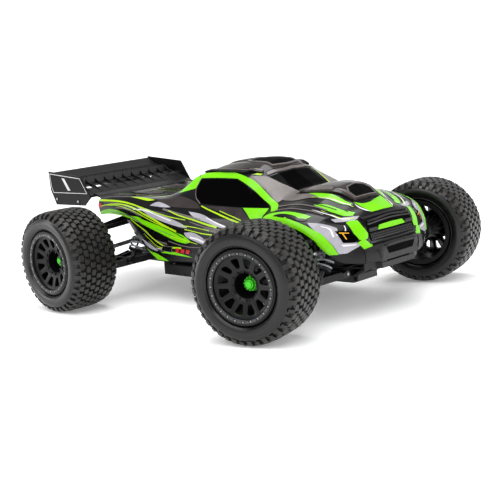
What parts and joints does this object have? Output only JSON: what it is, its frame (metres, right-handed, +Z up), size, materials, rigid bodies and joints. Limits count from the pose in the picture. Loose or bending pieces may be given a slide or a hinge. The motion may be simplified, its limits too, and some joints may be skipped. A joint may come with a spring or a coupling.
{
  "type": "radio-controlled race truck",
  "caption": "Low radio-controlled truck with treaded tyres, sprung arms, steering front wheels, lift-off painted body and a rear wing on two struts.",
  "frame": {"origin": "on the ground plane, at the middle of the bounding box", "axes": "+X forward, +Y to the truck's left, +Z up"},
  "size_m": [0.7911, 0.6252, 0.256],
  "materials": {
    "tyre_rubber": "moulded rubber, smooth sidewall",
    "wheel_plastic": "satin dark grey",
    "green_alloy": "green anodised",
    "black_plastic": "moulded, fine texture",
    "steel": "ground",
    "spring_steel": "powder coated grey",
    "grey_alloy": "grey anodised",
    "bumper_plastic": "moulded, satin",
    "wing_plastic": "moulded, satin",
    "body_paint": "painted clear shell, gloss",
    "motor_can": "black, satin",
    "battery_wrap": "shrink wrap",
    "esc_case": "satin black"
  },
  "bodies": {
    "chassis": {"chassis_tub": "black_plastic", "gear_cases": "black_plastic", "shock_towers": "black_plastic", "front_bumper": "bumper_plastic", "wing_mount": "black_plastic", "rear_wing": "wing_plastic", "motor": "motor_can", "battery_packs": "battery_wrap", "steering_servo": "black_plastic", "esc_and_receiver": "esc_case"},
    "body_shell": {"body_shell": "body_paint"},
    "lower_arm_fl": {"lower_arm_fl": "black_plastic"},
    "upper_arm_fl": {"upper_arm_fl": "black_plastic"},
    "half_shaft_fl": {"half_shaft_fl": "steel"},
    "caster_block_fl": {"caster_block_fl": "black_plastic"},
    "shock_body_fl": {"shock_body_fl": "green_alloy", "shock_spring_fl": "spring_steel"},
    "shock_rod_fl": {"shock_rod_fl": "black_plastic"},
    "steering_block_fl": {"steering_block_fl": "black_plastic"},
    "wheel_fl": {"tyre_fl": "tyre_rubber", "rim_fl": "wheel_plastic", "stub_axle_fl": "green_alloy"},
    "lower_arm_fr": {"lower_arm_fr": "black_plastic"},
    "upper_arm_fr": {"upper_arm_fr": "black_plastic"},
    "half_shaft_fr": {"half_shaft_fr": "steel"},
    "caster_block_fr": {"caster_block_fr": "black_plastic"},
    "shock_body_fr": {"shock_body_fr": "green_alloy", "shock_spring_fr": "spring_steel"},
    "shock_rod_fr": {"shock_rod_fr": "black_plastic"},
    "steering_block_fr": {"steering_block_fr": "black_plastic"},
    "wheel_fr": {"tyre_fr": "tyre_rubber", "rim_fr": "wheel_plastic", "stub_axle_fr": "green_alloy"},
    "lower_arm_rl": {"lower_arm_rl": "black_plastic"},
    "upper_arm_rl": {"upper_arm_rl": "black_plastic"},
    "half_shaft_rl": {"half_shaft_rl": "steel"},
    "axle_carrier_rl": {"axle_carrier_rl": "black_plastic"},
    "shock_body_rl": {"shock_body_rl": "green_alloy", "shock_spring_rl": "spring_steel"},
    "shock_rod_rl": {"shock_rod_rl": "black_plastic"},
    "wheel_rl": {"tyre_rl": "tyre_rubber", "rim_rl": "wheel_plastic", "stub_axle_rl": "green_alloy"},
    "lower_arm_rr": {"lower_arm_rr": "black_plastic"},
    "upper_arm_rr": {"upper_arm_rr": "black_plastic"},
    "half_shaft_rr": {"half_shaft_rr": "steel"},
    "axle_carrier_rr": {"axle_carrier_rr": "black_plastic"},
    "shock_body_rr": {"shock_body_rr": "green_alloy", "shock_spring_rr": "spring_steel"},
    "shock_rod_rr": {"shock_rod_rr": "black_plastic"},
    "wheel_rr": {"tyre_rr": "tyre_rubber", "rim_rr": "wheel_plastic", "stub_axle_rr": "green_alloy"},
    "servo_horn": {"servo_horn": "grey_alloy"},
    "idler_crank": {"idler_crank": "grey_alloy"},
    "drag_link": {"drag_link": "grey_alloy"},
    "tie_rod_l": {"tie_rod_l": "grey_alloy"},
    "tie_rod_r": {"tie_rod_r": "grey_alloy"},
    "centre_shaft": {"centre_shaft": "steel"},
    "pinion": {"pinion": "steel"}
  },
  "joints": [
    {"name": "suspension_fl", "type": "hinge", "parent": "chassis", "child": "lower_arm_fl", "pos_m": [0.285, 0.058, 0.072], "axis": [1, 0, 0], "range_deg": [-10, 11], "stiffness_Nm_per_rad": 12, "springref_deg": -6.02},
    {"name": "upper_arm_pivot_fl", "type": "hinge", "parent": "chassis", "child": "upper_arm_fl", "pos_m": [0.285, 0.058, 0.146], "axis": [1, 0, 0], "range_deg": [-10, 11]},
    {"name": "half_shaft_swing_fl", "type": "hinge", "parent": "chassis", "child": "half_shaft_fl", "pos_m": [0.285, 0.058, 0.105], "axis": [1, 0, 0], "range_deg": [-10, 11]},
    {"name": "caster_block_pivot_fl", "type": "hinge", "parent": "lower_arm_fl", "child": "caster_block_fl", "pos_m": [0.285, 0.201, 0.062], "axis": [1, 0, 0], "range_deg": [-11, 10]},
    {"name": "shock_top_pivot_fl", "type": "hinge", "parent": "chassis", "child": "shock_body_fl", "pos_m": [0.319, 0.06, 0.168], "axis": [1, 0, 0], "range_deg": [-3.2, 3.5]},
    {"name": "shock_stroke_fl", "type": "slide", "parent": "shock_body_fl", "child": "shock_rod_fl", "axis": [0, 0.5425, -0.84], "range_m": [-0.0109, 0.0099], "deforming": ["shock_spring_fl"]},
    {"name": "kingpin_fl", "type": "hinge", "parent": "caster_block_fl", "child": "steering_block_fl", "pos_m": [0.285, 0.201, 0.095], "axis": [0, 0, 1], "range_deg": [-40, 10]},
    {"name": "wheel_spin_fl", "type": "hinge", "parent": "steering_block_fl", "child": "wheel_fl", "pos_m": [0.27361, 0.2435, 0.095], "axis": [-0.2588, 0.9659, 0], "continuous": true},
    {"name": "suspension_fr", "type": "hinge", "parent": "chassis", "child": "lower_arm_fr", "pos_m": [0.285, -0.058, 0.072], "axis": [-1, 0, 0], "range_deg": [-10, 11], "stiffness_Nm_per_rad": 12, "springref_deg": -6.02},
    {"name": "upper_arm_pivot_fr", "type": "hinge", "parent": "chassis", "child": "upper_arm_fr", "pos_m": [0.285, -0.058, 0.146], "axis": [-1, 0, 0], "range_deg": [-10, 11]},
    {"name": "half_shaft_swing_fr", "type": "hinge", "parent": "chassis", "child": "half_shaft_fr", "pos_m": [0.285, -0.058, 0.105], "axis": [-1, 0, 0], "range_deg": [-10, 11]},
    {"name": "caster_block_pivot_fr", "type": "hinge", "parent": "lower_arm_fr", "child": "caster_block_fr", "pos_m": [0.285, -0.201, 0.062], "axis": [-1, 0, 0], "range_deg": [-11, 10]},
    {"name": "shock_top_pivot_fr", "type": "hinge", "parent": "chassis", "child": "shock_body_fr", "pos_m": [0.319, -0.06, 0.168], "axis": [-1, 0, 0], "range_deg": [-3.2, 3.5]},
    {"name": "shock_stroke_fr", "type": "slide", "parent": "shock_body_fr", "child": "shock_rod_fr", "axis": [0, -0.5425, -0.84], "range_m": [-0.0109, 0.0099], "deforming": ["shock_spring_fr"]},
    {"name": "kingpin_fr", "type": "hinge", "parent": "caster_block_fr", "child": "steering_block_fr", "pos_m": [0.285, -0.201, 0.095], "axis": [0, 0, 1], "range_deg": [-40, 10]},
    {"name": "wheel_spin_fr", "type": "hinge", "parent": "steering_block_fr", "child": "wheel_fr", "pos_m": [0.29639, -0.2435, 0.095], "axis": [-0.2588, 0.9659, 0], "continuous": true},
    {"name": "suspension_rl", "type": "hinge", "parent": "chassis", "child": "lower_arm_rl", "pos_m": [-0.197, 0.058, 0.072], "axis": [1, 0, 0], "range_deg": [-10, 11], "stiffness_Nm_per_rad": 12, "springref_deg": -7.16},
    {"name": "upper_arm_pivot_rl", "type": "hinge", "parent": "chassis", "child": "upper_arm_rl", "pos_m": [-0.197, 0.058, 0.146], "axis": [1, 0, 0], "range_deg": [-10, 11]},
    {"name": "half_shaft_swing_rl", "type": "hinge", "parent": "chassis", "child": "half_shaft_rl", "pos_m": [-0.197, 0.058, 0.105], "axis": [1, 0, 0], "range_deg": [-10, 11]},
    {"name": "axle_carrier_pivot_rl", "type": "hinge", "parent": "lower_arm_rl", "child": "axle_carrier_rl", "pos_m": [-0.197, 0.201, 0.062], "axis": [1, 0, 0], "range_deg": [-11, 10]},
    {"name": "shock_top_pivot_rl", "type": "hinge", "parent": "chassis", "child": "shock_body_rl", "pos_m": [-0.163, 0.06, 0.168], "axis": [1, 0, 0], "range_deg": [-3.2, 3.5]},
    {"name": "shock_stroke_rl", "type": "slide", "parent": "shock_body_rl", "child": "shock_rod_rl", "axis": [0, 0.5425, -0.84], "range_m": [-0.0109, 0.0099], "deforming": ["shock_spring_rl"]},
    {"name": "wheel_spin_rl", "type": "hinge", "parent": "axle_carrier_rl", "child": "wheel_rl", "pos_m": [-0.197, 0.245, 0.095], "axis": [0, 1, 0], "continuous": true},
    {"name": "suspension_rr", "type": "hinge", "parent": "chassis", "child": "lower_arm_rr", "pos_m": [-0.197, -0.058, 0.072], "axis": [-1, 0, 0], "range_deg": [-10, 11], "stiffness_Nm_per_rad": 12, "springref_deg": -7.16},
    {"name": "upper_arm_pivot_rr", "type": "hinge", "parent": "chassis", "child": "upper_arm_rr", "pos_m": [-0.197, -0.058, 0.146], "axis": [-1, 0, 0], "range_deg": [-10, 11]},
    {"name": "half_shaft_swing_rr", "type": "hinge", "parent": "chassis", "child": "half_shaft_rr", "pos_m": [-0.197, -0.058, 0.105], "axis": [-1, 0, 0], "range_deg": [-10, 11]},
    {"name": "axle_carrier_pivot_rr", "type": "hinge", "parent": "lower_arm_rr", "child": "axle_carrier_rr", "pos_m": [-0.197, -0.201, 0.062], "axis": [-1, 0, 0], "range_deg": [-11, 10]},
    {"name": "shock_top_pivot_rr", "type": "hinge", "parent": "chassis", "child": "shock_body_rr", "pos_m": [-0.163, -0.06, 0.168], "axis": [-1, 0, 0], "range_deg": [-3.2, 3.5]},
    {"name": "shock_stroke_rr", "type": "slide", "parent": "shock_body_rr", "child": "shock_rod_rr", "axis": [0, -0.5425, -0.84], "range_m": [-0.0109, 0.0099], "deforming": ["shock_spring_rr"]},
    {"name": "wheel_spin_rr", "type": "hinge", "parent": "axle_carrier_rr", "child": "wheel_rr", "pos_m": [-0.197, -0.245, 0.095], "axis": [0, 1, 0], "continuous": true},
    {"name": "steering", "type": "hinge", "parent": "chassis", "child": "servo_horn", "pos_m": [0.235, 0.026, 0.118], "axis": [0, 0, 1], "range_deg": [-40, 10]},
    {"name": "idler_pivot", "type": "hinge", "parent": "chassis", "child": "idler_crank", "pos_m": [0.235, -0.026, 0.118], "axis": [0, 0, 1], "range_deg": [-40, 10]},
    {"name": "drag_link_pivot", "type": "hinge", "parent": "servo_horn", "child": "drag_link", "pos_m": [0.20795, 0.01875, 0.125], "axis": [0, 0, 1], "range_deg": [-10, 40]},
    {"name": "tie_rod_pivot_l", "type": "hinge", "parent": "drag_link", "child": "tie_rod_l", "pos_m": [0.25795, 0.05075, 0.132], "axis": [1, 0, 0], "range_deg": [-10, 11]},
    {"name": "tie_rod_pivot_r", "type": "hinge", "parent": "drag_link", "child": "tie_rod_r", "pos_m": [0.25795, -0.06525, 0.132], "axis": [-1, 0, 0], "range_deg": [-10, 11]},
    {"name": "centre_shaft_spin", "type": "hinge", "parent": "chassis", "child": "centre_shaft", "pos_m": [-0.045, 0, 0.105], "axis": [1, 0, 0], "continuous": true},
    {"name": "pinion_spin", "type": "hinge", "parent": "chassis", "child": "pinion", "pos_m": [-0.045, -0.0333, 0.105], "axis": [1, 0, 0], "continuous": true},
    {"name": "body_lift", "type": "slide", "parent": "chassis", "child": "body_shell", "axis": [0, 0, 1], "range_m": [0, 0.15]}
  ],
  "couplings": [
    {"joint": "upper_arm_pivot_fl", "follows": "suspension_fl", "ratio": 1},
    {"joint": "half_shaft_swing_fl", "follows": "suspension_fl", "ratio": 1},
    {"joint": "caster_block_pivot_fl", "follows": "suspension_fl", "ratio": -1},
    {"joint": "shock_top_pivot_fl", "follows": "suspension_fl", "ratio": 0.292},
    {"joint": "shock_stroke_fl", "follows": "suspension_fl", "m_per_rad": -0.0549},
    {"joint": "kingpin_fl", "follows": "steering", "ratio": 1},
    {"joint": "upper_arm_pivot_fr", "follows": "suspension_fr", "ratio": 1},
    {"joint": "half_shaft_swing_fr", "follows": "suspension_fr", "ratio": 1},
    {"joint": "caster_block_pivot_fr", "follows": "suspension_fr", "ratio": -1},
    {"joint": "shock_top_pivot_fr", "follows": "suspension_fr", "ratio": 0.292},
    {"joint": "shock_stroke_fr", "follows": "suspension_fr", "m_per_rad": -0.0549},
    {"joint": "kingpin_fr", "follows": "steering", "ratio": 1},
    {"joint": "upper_arm_pivot_rl", "follows": "suspension_rl", "ratio": 1},
    {"joint": "half_shaft_swing_rl", "follows": "suspension_rl", "ratio": 1},
    {"joint": "axle_carrier_pivot_rl", "follows": "suspension_rl", "ratio": -1},
    {"joint": "shock_top_pivot_rl", "follows": "suspension_rl", "ratio": 0.292},
    {"joint": "shock_stroke_rl", "follows": "suspension_rl", "m_per_rad": -0.0549},
    {"joint": "upper_arm_pivot_rr", "follows": "suspension_rr", "ratio": 1},
    {"joint": "half_shaft_swing_rr", "follows": "suspension_rr", "ratio": 1},
    {"joint": "axle_carrier_pivot_rr", "follows": "suspension_rr", "ratio": -1},
    {"joint": "shock_top_pivot_rr", "follows": "suspension_rr", "ratio": 0.292},
    {"joint": "shock_stroke_rr", "follows": "suspension_rr", "m_per_rad": -0.0549},
    {"joint": "idler_pivot", "follows": "steering", "ratio": 1},
    {"joint": "drag_link_pivot", "follows": "steering", "ratio": -1},
    {"joint": "tie_rod_pivot_l", "follows": "suspension_fl", "ratio": 1},
    {"joint": "tie_rod_pivot_r", "follows": "suspension_fr", "ratio": 1},
    {"joint": "pinion_spin", "follows": "centre_shaft_spin", "ratio": -2.3}
  ]
}
